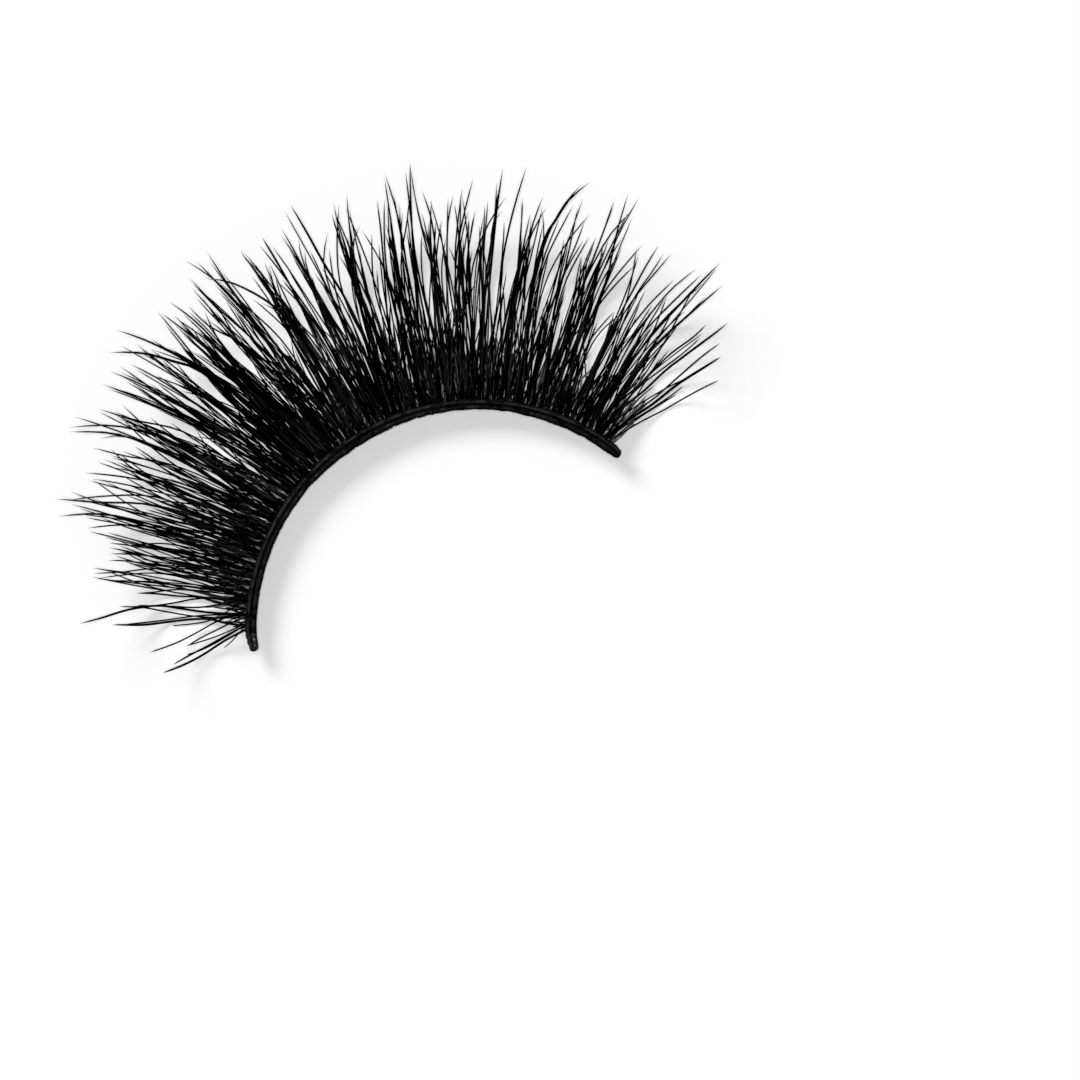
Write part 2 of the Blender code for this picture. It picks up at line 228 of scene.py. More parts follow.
# The single hairs that stand out at the tips, in mm: how thick each one is beside a common hair, and three
# places that it passes as (along, out), the last of them its tip
HairRow = namedtuple("HairRow", "thickness foot middle tip")
HAIRS = (
    HairRow(1.0, (3.15, 7.0), (3.20, 9.0), (3.25, 10.7)),
    HairRow(1.0, (3.95, 7.2), (3.62, 8.8), (3.37, 10.7)),
    HairRow(1.0, (3.50, 7.0), (3.57, 9.2), (3.58, 10.8)),
    HairRow(0.9, (3.80, 7.0), (3.50, 8.8), (3.24, 10.2)),
    HairRow(1.1, (4.15, 7.5), (4.10, 8.8), (3.95, 9.9)),
    HairRow(1.0, (4.48, 7.5), (4.35, 8.9), (4.22, 9.9)),
    HairRow(1.1, (4.30, 7.5), (4.46, 8.9), (4.45, 10.0)),
    HairRow(1.1, (4.95, 7.2), (4.75, 8.7), (4.63, 10.1)),
    HairRow(1.1, (4.88, 7.5), (4.90, 9.5), (4.87, 11.5)),
    HairRow(1.1, (5.75, 7.7), (5.40, 9.8), (4.95, 11.7)),
    HairRow(0.9, (4.97, 7.5), (4.98, 9.0), (5.00, 10.4)),
    HairRow(1.4, (5.75, 8.5), (5.55, 11.2), (5.10, 13.6)),
    HairRow(1.4, (6.45, 9.0), (6.00, 11.2), (5.63, 14.1)),
    HairRow(1.0, (6.05, 9.5), (6.00, 11.6), (6.03, 13.3)),
    HairRow(1.1, (6.90, 8.5), (6.40, 10.7), (5.72, 13.3)),
    HairRow(1.0, (6.85, 9.0), (6.72, 10.8), (6.60, 12.5)),
    HairRow(1.0, (7.05, 9.5), (6.87, 11.0), (6.70, 12.3)),
    HairRow(1.2, (7.48, 8.5), (7.15, 10.8), (6.80, 12.9)),
    HairRow(1.0, (7.42, 9.0), (7.38, 10.8), (7.32, 12.5)),
    HairRow(1.1, (8.40, 8.7), (7.95, 11.0), (7.70, 13.1)),
    HairRow(1.0, (7.55, 8.9), (7.70, 10.7), (7.95, 12.1)),
    HairRow(1.0, (7.62, 8.5), (7.63, 10.0), (7.62, 11.4)),
    HairRow(1.0, (8.25, 9.0), (8.12, 10.3), (8.05, 11.3)),
    HairRow(1.3, (8.78, 8.8), (8.50, 12.2), (7.85, 14.8)),
    HairRow(1.3, (9.15, 10.0), (8.72, 12.5), (7.95, 15.0)),
    HairRow(1.1, (8.80, 9.0), (8.62, 12.0), (8.35, 15.0)),
    HairRow(1.1, (8.72, 10.0), (8.48, 12.0), (8.05, 13.0)),
    HairRow(1.0, (8.30, 8.7), (8.36, 9.8), (8.43, 10.8)),
    HairRow(0.9, (8.20, 8.5), (8.25, 9.6), (8.30, 10.5)),
    HairRow(1.2, (9.85, 9.2), (9.35, 11.3), (8.95, 13.9)),
    HairRow(1.0, (9.45, 10.0), (9.20, 12.0), (9.00, 13.6)),
    HairRow(1.1, (9.20, 10.0), (9.33, 11.3), (9.50, 12.8)),
    HairRow(1.0, (9.30, 10.5), (9.22, 11.8), (9.15, 13.0)),
    HairRow(0.9, (9.20, 10.0), (9.10, 11.5), (9.00, 12.7)),
    HairRow(1.0, (9.55, 9.0), (9.60, 10.1), (9.65, 10.9)),
    HairRow(0.9, (9.88, 8.3), (9.90, 9.0), (9.92, 9.6)),
    HairRow(1.4, (10.28, 9.5), (10.03, 11.9), (9.72, 14.5)),
    HairRow(1.2, (10.70, 10.0), (10.48, 12.3), (10.20, 14.6)),
    HairRow(1.1, (10.50, 10.5), (10.56, 12.3), (10.52, 14.3)),
    HairRow(1.1, (11.07, 10.0), (10.95, 12.2), (10.78, 13.9)),
    HairRow(1.0, (10.85, 9.5), (10.84, 10.8), (10.82, 11.8)),
    HairRow(1.1, (11.50, 10.0), (11.45, 12.0), (11.40, 14.0)),
    HairRow(1.1, (11.72, 10.0), (11.67, 12.0), (11.60, 13.5)),
    HairRow(1.0, (12.15, 10.8), (11.98, 12.5), (11.88, 13.9)),
    HairRow(1.1, (12.38, 10.0), (12.43, 11.4), (12.42, 12.4)),
    HairRow(1.1, (12.37, 10.5), (12.55, 12.7), (12.68, 14.8)),
    HairRow(1.1, (13.00, 10.0), (12.90, 12.2), (12.72, 14.5)),
    HairRow(1.0, (12.95, 10.5), (12.98, 12.3), (12.98, 13.9)),
    HairRow(1.3, (13.40, 10.5), (13.35, 12.8), (13.17, 14.7)),
    HairRow(1.1, (14.05, 9.9), (13.60, 11.8), (13.54, 13.7)),
    HairRow(1.1, (13.45, 9.7), (13.62, 11.5), (13.85, 12.8)),
    HairRow(1.0, (13.50, 10.3), (13.48, 12.0), (13.42, 13.4)),
    HairRow(1.0, (13.48, 10.0), (13.56, 11.4), (13.65, 12.5)),
    HairRow(1.0, (12.95, 10.5), (13.03, 11.6), (13.16, 12.7)),
    HairRow(1.1, (14.10, 10.0), (14.07, 12.3), (14.02, 14.4)),
    HairRow(1.2, (14.55, 9.8), (14.28, 12.4), (14.17, 15.0)),
    HairRow(1.0, (14.52, 9.5), (14.60, 11.3), (14.67, 12.5)),
    HairRow(1.1, (14.95, 11.3), (14.78, 13.8), (14.41, 16.0)),
    HairRow(1.4, (14.97, 10.5), (14.83, 13.0), (14.68, 15.5)),
    HairRow(1.1, (15.03, 10.5), (15.02, 12.8), (15.01, 15.0)),
    HairRow(1.3, (15.02, 11.0), (15.07, 13.2), (15.12, 15.6)),
    HairRow(1.1, (15.45, 8.7), (15.15, 11.0), (14.85, 13.6)),
    HairRow(1.0, (15.85, 9.0), (15.66, 10.3), (15.47, 11.5)),
    HairRow(1.1, (16.15, 10.5), (16.10, 12.7), (16.02, 14.6)),
    HairRow(1.0, (16.15, 10.5), (16.18, 12.0), (16.22, 13.3)),
    HairRow(1.0, (16.25, 10.2), (16.33, 11.4), (16.40, 12.4)),
    HairRow(1.0, (16.25, 9.8), (16.42, 11.0), (16.62, 12.1)),
    HairRow(1.2, (16.95, 10.5), (16.80, 12.5), (16.65, 14.2)),
    HairRow(1.2, (16.90, 10.5), (16.90, 12.5), (16.86, 14.6)),
    HairRow(1.0, (17.25, 9.8), (17.13, 12.0), (17.00, 13.8)),
    HairRow(1.1, (17.68, 10.5), (17.55, 12.6), (17.43, 14.1)),
    HairRow(1.2, (17.68, 10.5), (17.62, 12.7), (17.55, 14.5)),
    HairRow(1.0, (17.70, 10.8), (17.75, 12.3), (17.92, 13.4)),
    HairRow(1.0, (17.68, 10.0), (17.75, 11.6), (17.95, 12.6)),
    HairRow(1.1, (18.20, 9.8), (18.45, 11.7), (18.95, 13.1)),
    HairRow(1.4, (19.15, 10.5), (19.20, 12.5), (19.27, 14.2)),
    HairRow(1.1, (18.70, 10.0), (19.10, 12.2), (19.60, 14.5)),
    HairRow(0.9, (19.20, 11.5), (19.33, 13.2), (19.45, 14.8)),
    HairRow(1.2, (19.33, 10.0), (19.65, 12.6), (19.93, 15.0)),
    HairRow(1.1, (19.40, 10.3), (19.65, 11.9), (20.07, 12.9)),
    HairRow(1.0, (19.50, 11.0), (19.64, 12.2), (19.73, 13.2)),
    HairRow(1.0, (19.40, 10.5), (19.45, 12.0), (19.43, 13.2)),
    HairRow(1.1, (19.98, 9.5), (20.18, 10.9), (20.38, 12.2)),
    HairRow(1.0, (19.58, 9.8), (19.70, 10.7), (19.80, 11.5)),
    HairRow(1.3, (20.50, 10.0), (20.70, 12.2), (20.83, 14.2)),
    HairRow(1.2, (20.60, 10.5), (20.85, 12.5), (21.08, 14.1)),
    HairRow(1.2, (21.40, 11.0), (21.38, 13.2), (21.25, 15.7)),
    HairRow(1.2, (21.05, 10.5), (21.14, 13.0), (21.22, 15.4)),
    HairRow(1.0, (21.36, 11.2), (21.37, 12.9), (21.42, 14.3)),
    HairRow(1.1, (21.30, 10.3), (21.42, 11.9), (21.61, 13.1)),
    HairRow(1.3, (21.78, 10.5), (21.86, 13.2), (21.91, 15.6)),
    HairRow(1.3, (21.75, 11.0), (21.93, 13.7), (22.10, 16.2)),
    HairRow(1.1, (21.25, 10.3), (21.65, 12.2), (21.95, 14.2)),
    HairRow(1.0, (21.95, 9.7), (22.05, 10.8), (22.15, 11.6)),
    HairRow(1.2, (22.55, 10.2), (22.52, 12.5), (22.33, 14.3)),
    HairRow(1.2, (22.40, 10.2), (22.50, 12.2), (22.63, 13.6)),
    HairRow(1.1, (22.60, 10.0), (22.76, 11.3), (22.92, 12.3)),
    HairRow(1.0, (22.52, 10.5), (22.60, 11.4), (22.70, 12.2)),
    HairRow(1.0, (22.75, 9.5), (22.88, 10.4), (23.00, 11.1)),
    HairRow(1.2, (22.98, 10.2), (23.12, 12.2), (23.37, 13.8)),
    HairRow(1.1, (23.35, 10.3), (23.53, 12.5), (23.68, 14.2)),
    HairRow(1.2, (23.45, 10.5), (23.75, 12.7), (24.05, 14.8)),
    HairRow(1.0, (23.52, 10.7), (23.70, 11.9), (23.88, 12.8)),
    HairRow(1.1, (23.80, 9.8), (23.96, 11.4), (24.10, 12.8)),
    HairRow(1.1, (24.38, 10.3), (24.40, 11.8), (24.42, 13.1)),
    HairRow(1.1, (24.42, 10.7), (24.48, 12.1), (24.53, 13.4)),
    HairRow(1.4, (24.72, 10.3), (24.82, 13.0), (24.98, 15.5)),
    HairRow(1.0, (24.75, 11.5), (24.80, 13.2), (24.80, 14.6)),
    HairRow(1.1, (24.15, 10.2), (24.62, 12.1), (25.15, 13.7)),
    HairRow(1.0, (24.70, 10.5), (24.78, 12.1), (25.05, 12.8)),
    HairRow(1.0, (25.10, 9.5), (25.13, 11.0), (25.12, 12.2)),
    HairRow(1.3, (25.15, 9.3), (25.40, 12.5), (25.73, 15.7)),
    HairRow(1.1, (25.88, 10.0), (25.95, 11.6), (26.03, 12.8)),
    HairRow(1.2, (26.07, 10.5), (26.18, 12.4), (26.38, 14.0)),
    HairRow(1.1, (26.02, 10.5), (26.25, 12.0), (26.55, 13.3)),
    HairRow(1.0, (26.62, 10.8), (26.54, 11.9), (26.42, 13.0)),
    HairRow(1.1, (26.85, 10.0), (27.15, 12.0), (27.43, 13.8)),
    HairRow(1.1, (26.78, 10.5), (26.93, 11.8), (27.05, 12.8)),
    HairRow(1.0, (27.15, 9.7), (27.60, 11.8), (28.05, 13.5)),
    HairRow(1.1, (27.65, 9.7), (27.83, 11.6), (27.92, 13.0)),
    HairRow(1.1, (27.85, 9.5), (28.07, 11.1), (28.23, 12.1)),
    HairRow(1.0, (27.72, 9.8), (27.90, 10.9), (28.05, 11.8)),
    HairRow(1.2, (28.58, 10.5), (28.65, 13.0), (28.67, 14.8)),
    HairRow(1.1, (29.10, 10.3), (29.20, 13.0), (29.40, 15.4)),
    HairRow(1.1, (28.62, 10.3), (28.95, 12.8), (29.35, 14.5)),
    HairRow(1.2, (29.32, 10.0), (29.10, 12.9), (29.03, 15.4)),
    HairRow(1.0, (29.10, 10.7), (29.22, 11.8), (29.35, 12.7)),
    HairRow(1.0, (29.25, 10.3), (29.35, 11.0), (29.43, 11.6)),
    HairRow(1.1, (29.45, 9.5), (29.78, 11.2), (30.08, 12.7)),
    HairRow(1.1, (29.45, 8.6), (29.80, 10.1), (30.12, 11.3)),
    HairRow(1.0, (29.62, 6.2), (29.85, 7.2), (30.08, 8.1)),
    HairRow(1.3, (30.38, 9.5), (30.48, 11.7), (30.60, 13.1)),
    HairRow(1.1, (30.60, 9.6), (30.90, 11.5), (31.13, 13.0)),
    HairRow(1.0, (30.62, 9.8), (30.80, 11.5), (30.88, 12.8)),
    HairRow(1.1, (30.95, 6.5), (30.94, 8.0), (30.90, 9.3)),
    HairRow(1.0, (30.62, 6.3), (30.52, 7.4), (30.50, 8.3)),
    HairRow(1.0, (30.60, 7.2), (30.65, 8.6), (30.68, 10.0)),
    HairRow(1.1, (30.97, 7.2), (31.20, 9.2), (31.65, 11.6)),
    HairRow(1.1, (31.47, 9.0), (31.72, 11.0), (32.14, 12.9)),
    HairRow(1.0, (31.20, 7.3), (31.30, 8.5), (31.36, 9.5)),
    HairRow(1.0, (31.35, 7.4), (31.45, 8.5), (31.53, 9.4)),
    HairRow(1.2, (31.60, 7.7), (31.97, 10.1), (32.40, 12.8)),
    HairRow(1.6, (31.95, 7.8), (32.25, 10.2), (32.70, 14.0)),
    HairRow(1.6, (32.30, 7.2), (32.77, 10.1), (33.20, 12.9)),
    HairRow(1.0, (32.15, 7.6), (32.38, 9.1), (32.60, 10.3)),
    HairRow(1.0, (32.05, 2.4), (32.36, 4.0), (32.64, 5.9)),
    HairRow(1.0, (32.28, 5.6), (32.48, 7.3), (32.66, 8.4)),
    HairRow(1.1, (32.68, 4.9), (32.82, 6.3), (32.92, 7.6)),
)

# The sparse hairs of the two corners and the strays, in mm: how thick each one is beside a common hair, and
# its way from the root to the tip
StrayRow = namedtuple("StrayRow", "thickness way")
STRAYS = (
    StrayRow(1.6, ((1.25, 0.7), (0.68, 1.9), (0.00, 3.3), (-0.32, 4.2), (-0.61, 5.4), (-0.73, 6.1))),
    StrayRow(1.3, ((1.50, 0.7), (1.14, 1.5), (0.32, 3.3), (0.00, 4.2), (-0.41, 5.4))),
    StrayRow(1.1, ((1.55, 0.7), (0.86, 1.9), (0.45, 2.8), (0.18, 3.6), (0.00, 4.5))),
    StrayRow(1.0, ((1.65, 0.7), (1.32, 1.4), (0.95, 2.4), (0.68, 3.4), (0.45, 4.5))),
    StrayRow(1.1, ((2.05, 0.7), (1.77, 1.4), (1.32, 2.4), (0.95, 3.3), (0.50, 4.3))),
    StrayRow(1.1, ((2.45, 0.7), (1.82, 2.4), (1.14, 3.8), (0.77, 4.7), (0.45, 5.8), (0.25, 6.8))),
    StrayRow(
        1.7,
        ((1.55, 0.7), (1.64, 1.8), (1.84, 3.0), (1.77, 4.4), (1.64, 5.5), (1.48, 7.0), (1.45, 9.2)),
    ),
    StrayRow(1.1, ((2.20, 0.7), (2.10, 2.4), (1.90, 4.3), (1.73, 5.5), (1.60, 6.7), (1.47, 8.4))),
    StrayRow(1.0, ((2.20, 0.7), (1.90, 2.5), (1.68, 3.3), (1.55, 4.3), (1.45, 5.4))),
    StrayRow(
        1.6,
        ((2.25, 0.7), (2.20, 2.7), (2.30, 4.9), (2.36, 6.0), (2.14, 7.9), (1.68, 10.0), (1.47, 11.2)),
    ),
    StrayRow(1.1, ((2.05, 0.7), (1.92, 2.5), (1.95, 4.0), (2.10, 5.8), (2.22, 7.2), (2.20, 8.8))),
    StrayRow(1.2, ((3.10, 0.7), (3.05, 2.4), (2.86, 4.0), (2.55, 5.4), (2.35, 6.6), (2.20, 8.3))),
    StrayRow(1.2, ((3.20, 0.7), (2.73, 2.2), (2.40, 3.8), (2.36, 5.2), (2.33, 6.2), (2.30, 7.7))),
    StrayRow(1.3, ((2.60, 0.7), (2.86, 2.9), (2.94, 3.8), (2.88, 5.2), (2.88, 6.4), (2.82, 7.8))),
    StrayRow(1.1, ((3.00, 0.7), (3.20, 3.4), (3.24, 4.5), (3.12, 5.7), (2.92, 6.8), (2.85, 7.5))),
    StrayRow(1.2, ((9.5, 0.7), (8.95, 8.5), (8.75, 9.8), (8.62, 11.4), (8.45, 12.4), (7.85, 14.8))),
    StrayRow(1.9, ((12.7, 0.7), (12.4, 9.0), (12.2, 10.5), (11.85, 11.7), (11.35, 13.6), (10.68, 15.3))),
    StrayRow(1.6, ((12.9, 0.7), (12.4, 9.4), (12.05, 12.0), (11.75, 13.9), (11.38, 15.8))),
    StrayRow(1.6, ((16.6, 0.7), (16.2, 9.0), (15.95, 10.5), (15.55, 12.0), (15.05, 13.4), (14.55, 14.3))),
    StrayRow(1.7, ((19.0, 0.7), (18.6, 9.0), (18.37, 11.3), (18.25, 13.5), (18.13, 15.6))),
    StrayRow(1.9, ((26.7, 0.7), (26.5, 10.0), (26.7, 11.8), (26.9, 12.6), (27.25, 14.1), (27.78, 15.4))),
    StrayRow(1.2, ((26.9, 0.7), (26.6, 10.0), (26.85, 12.3), (27.1, 13.6), (27.52, 15.1))),
    StrayRow(
        1.7,
        ((32.1, 0.7), (32.55, 2.8), (33.00, 4.4), (33.27, 6.2), (33.64, 8.1), (34.00, 10.1), (34.16, 11.2)),
    ),
    StrayRow(1.3, ((31.9, 0.7), (32.20, 2.6), (32.73, 4.9), (33.05, 7.4), (33.45, 9.3), (33.56, 10.3))),
    StrayRow(1.1, ((32.3, 0.7), (32.50, 3.0), (32.80, 4.9), (33.20, 6.6), (33.55, 8.4), (33.68, 9.4))),
    StrayRow(0.9, ((32.9, 0.7), (32.92, 2.2), (33.05, 3.9), (33.30, 5.2))),
    StrayRow(1.3, ((33.0, 0.7), (33.27, 2.8), (33.68, 4.6), (33.95, 6.6), (34.23, 8.8), (34.42, 9.9))),
    StrayRow(1.1, ((32.9, 0.7), (33.30, 2.1), (33.86, 3.8), (34.27, 5.5), (34.40, 6.3))),
    StrayRow(1.0, ((33.1, 0.7), (33.70, 3.1), (34.10, 4.5), (34.40, 5.6))),
    StrayRow(1.9, ((32.8, 0.7), (33.20, 2.2), (33.77, 4.1), (34.14, 6.2), (34.60, 8.3), (34.80, 9.3))),
    StrayRow(1.1, ((33.1, 0.7), (33.77, 2.5), (34.45, 4.4), (34.73, 5.5), (35.05, 6.8), (35.39, 8.1))),
)

# How a hair is drawn: its tube's sides and radii, in full and at its tip, and how far it bends to its sides
HAIR_SIDES = 5
HAIR_RADIUS = 0.049 * MM
TIP_RADIUS = 0.033 * MM
TAPER_FROM = 0.75
TAPER_POWER = 2.0
LONG_BEND = 0.06 * MM
SHORT_BEND = 0.04 * MM
ROOT_LIFT = 0.14 * MM
TOP_GAP = 0.1 * MM
FLOOR_GAP = 0.002 * MM
UNDER_DEPTH = 0.2 * MM
TONE = "tone"
HAIR_SEED = 20

# The kinds of hair: how many steps each is drawn in, how far its tip strays up or down, its share of the
# common bends, and its layer, which is also the number of its material
TOP, UNDER = 0, 1
Kind = namedtuple("Kind", "steps scatter bend layer")
STRAY = Kind(22, 0.2 * MM, 0.2, TOP)
CHARTED = Kind(16, 0.35 * MM, 0.35, TOP)
CROSSED = Kind(16, 0.45 * MM, 1.0, TOP)
SHORT = Kind(9, 0.15 * MM, 1.0, TOP)
# The grey under-layer of short hairs is painted shade, for the shaded floor seen through gaps at the root
PAINTED_SHADE_HAIR = Kind(9, 0.05 * MM, 1.0, UNDER)
WISP = Kind(9, 0.05 * MM, 1.0, TOP)

# The roots: small bundles, how loosely a hair keeps to its own, and how far inside the band's outer edge it
# starts. A charted hair whose first place is LONG_REACH out has its root within ROOT_SPREAD of its lean
ROOT_BUNDLE = 0.42 * MM
BUNDLE_SPREAD = 0.055 * MM
ROOT_SPREAD = 0.8 * MM
LONG_REACH = 9.0 * MM
START_INSIDE = (0.05 * MM, 0.2 * MM)

# The crossed hairs: how many there are beside the knots' own numbers, how they lie side by side in a knot,
# and how far past it they end. Knots are long and narrow, so a miss outwards counts for less
KNOT_FILL = 1.5
KNOT_STRETCH = 4
SMALL_KNOT = 3
SMALL_KNOT_SPREAD = ROOT_SPREAD / 2
HAIR_PITCH = 0.035 * MM
PITCH_NOISE = 0.02 * MM
CROSSING = 0.4 * MM
PAST_KNOT = 0.8 * MM
AIM_SLACK = 0.35 * MM
AIM_NOISE = 0.08 * MM
ENDING_SPREAD = 0.75
ENDING_POWER = 0.9
LOW_KNOT_SHARE = 0.45
LOW_KNOT_RUN = (0.6 * MM, 3.5 * MM)
CROSSED_THICKNESS = (0.85, 1.1)

# The hairs of the dense root. Reaches are shares of the full reach, but a wisp's is a length. A lean is how
# far a hair goes sideways for each step outwards, beside the local lean
SHORT_FILL = 0.7
SHORT_REACH = (0.10, 0.52)
SHORT_LEAN = 0.16
SHORT_THICKNESS = (0.8, 1.1)
# The grey hairs under the root are painted shade, for the floor in shade below them
SHADE_HAIRS_PER_MM = 12
SHADE_HAIR_REACH = (0.08, 0.30)
SHADE_HAIR_THICKNESS = 1.3
WISPS_FROM_TO = (1.5 * MM, 32.6 * MM)
WISPS_PER_MM = 8
WISP_REACH = (0.4 * MM, 1.8 * MM)
WISP_LEAN = 0.45
WISP_LEAN_LIMIT = 2 * WISP_LEAN
WISP_THICKNESS = (0.7, 1.0)

# The near-black materials: from what to what their colour, shine and roughness go, how fine their grain and
# patches of shine are, and the depth of their relief in mm. Without patches, each hair has its own shine
DarkRow = namedtuple("DarkRow", "name colour shine roughness grain patch relief")
HAIR_LOOK = DarkRow("black_hair", (0.0001, 0.0006), (0.0, 0.20), (0.28, 0.45), 900, None, 0.01)
# The grey under-layer's material is painted shade, for the shaded floor seen through the gaps
PAINTED_SHADE_LOOK = DarkRow("painted_shade_grey_hair", (0.06, 0.24), (0.0, 0.10), (0.50, 0.80), 4000, 300, 0.01)
FILM_LOOK = DarkRow("black_glue_film", (0.0002, 0.0030), (0.0, 0.07), (0.25, 0.70), 5000, 1900, 0.03)
THREAD_LOOK = DarkRow("black_thread", (0.0004, 0.0060), (0.0, 0.17), (0.30, 0.60), 6000, 1700, 0.03)
TAIL_LOOK = DarkRow("black_glue_tail", (0.0004, 0.0100), (0.0, 0.32), (0.20, 0.50), 9000, 7000, 0.04)
NOISE_SPAN = (0.35, 0.65)
TONE_SPAN = (0.6, 1.0)
GRAIN_DETAIL = 5
PATCH_DETAIL = 2
BLUE_SHARE = 1.05
RELIEF_STRENGTH = 0.6

# The photograph's frame, and the camera, which looks straight down
PHOTO_PIXELS = 1080
PIXELS_PER_MM = 15.6
ARC_CENTRE_PIXEL = (477.7, 631.4)
CHORD_TURN = math.radians(28.1)
CAMERA_HEIGHT = 1.2
SENSOR_WIDTH = 36.0
CLIP_FROM_TO = (0.01, 10)

# The floor and the lights. The key light goes KEY_RIGHT to the picture's right for each KEY_DOWN down it,
# and leans by KEY_STEEPNESS from straight down
FLOOR_HALF_WIDTH = 0.6
FLOOR_GREY = 0.9
KEY_RIGHT, KEY_DOWN = 25, 30
KEY_STEEPNESS = math.radians(50)
KEY_STRENGTH = 1.77
KEY_SPREAD = math.radians(24)
OVERHEAD_STRENGTH = 1.90
OVERHEAD_SPREAD = math.radians(5)
SKY_STRENGTH = 0.15

Lock = namedtuple("Lock", "root tip reach bow")


def arc_centre():
    """The centre of the band's arc in plan, found from the middle facet of its concave edge."""
    face = frame["record"]["mounts"][0]["pos_m"]
    sagged = BAND_RADIUS * math.cos(BAND_FACET / 2 / CHART_RADIUS)
    base = face[2] - BAND_HEIGHT + FACE_BELOW_MIDDLE
    return Vector((face[0], face[1] - sagged, base))


ARC_CENTRE = arc_centre()


def strip_points(along, out, height):
    """Points at places on the strip, as an array of rows."""
    turn = math.pi / 2 + (BAND_LENGTH / 2 - along) / CHART_RADIUS
    radius = BAND_RADIUS + out
    x = ARC_CENTRE.x + radius * np.cos(turn)
    y = ARC_CENTRE.y + radius * np.sin(turn)
    return np.column_stack((x, y, ARC_CENTRE.z + height))


def reach_at(along):
    """How far the hair reaches here, eased from row to row of REACH."""
    here = along / MM
    if here <= REACH[0].along:
        return REACH[0].reach * MM
    for before, after in zip(REACH, REACH[1:]):
        if here <= after.along:
            share = (here - before.along) / (after.along - before.along)
            eased = 0.5 - 0.5 * math.cos(math.pi * share)
            return (before.reach + (after.reach - before.reach) * eased) * MM
    return REACH[-1].reach * MM


def layer_height(along, out):
    """Height of the middle of the hair layer: down from the band to the belly, then up the curl."""
    reach = reach_at(along)
    run = max(0.0, out - ROOT_OUT)
    belly = BELLY_SHARE * (reach - ROOT_OUT)
    low = BELLY_HEIGHT + SHORT_HAIR_LIFT * max(0.0, FLOOR_REACH - reach)
    if run < belly:
        return low + (BAND_HEIGHT - low) * (1 - run / belly) ** 2
    climb = (run - belly) / (reach - ROOT_OUT - belly)
    return low + CURL_SHARE * reach * climb**2


def all_locks():
    """The locks of all the tufts, with their roots spread evenly over each tuft's stretch of band."""
    locks = []
    for row in TUFTS:
        pitch = (row.root_to - row.root_from) / len(row.tips)
        for place, (tip, reach) in enumerate(row.tips):
            root = row.root_from + (place + 0.5) * pitch
            locks.append(Lock(root * MM, tip * MM, reach * MM, row.bow))
    return locks


LOCKS = all_locks()
LOCK_ROOTS = np.array([lock.root for lock in LOCKS])


def locks_at(out):
    """Where the middle of every lock is at this distance, going straight on past its tip."""
    middles = []
    for lock in LOCKS:
        share = (out - ROOT_OUT) / (lock.reach - ROOT_OUT)
        swept = share * (1 + lock.bow * (share - 1))
        middles.append(lock.root + (lock.tip - lock.root) * swept)
    return np.maximum.accumulate(middles)


def lean_on(root, out):
    """Where a hair from this root would be at this distance if it leaned as the locks around it do."""
    return float(np.interp(root, LOCK_ROOTS, locks_at(out)))


def lean_back(along, out):
    """The root of a hair that passes this place and leans as the locks around it do."""
    return float(np.interp(along, locks_at(out), LOCK_ROOTS))


def smooth_through(out_points, along_points, out):
    """A smooth curve through the given points, read at the given distances."""
    slopes = np.gradient(np.array(along_points), np.array(out_points))
    span = np.clip(np.searchsorted(out_points, out, side="right") - 1, 0, len(out_points) - 2)
    start, end = np.take(out_points, span), np.take(out_points, span + 1)
    width = end - start
    t = (out - start) / width
    return (
        (2 * t**3 - 3 * t**2 + 1) * np.take(along_points, span)
        + (t**3 - 2 * t**2 + t) * width * np.take(slopes, span)
        + (3 * t**2 - 2 * t**3) * np.take(along_points, span + 1)
        + (t**3 - t**2) * width * np.take(slopes, span + 1)
    )


def linked(name, data):
    """A new object with this data, in the scene."""
    thing = bpy.data.objects.new(name, data)
    bpy.context.scene.collection.objects.link(thing)
    return thing


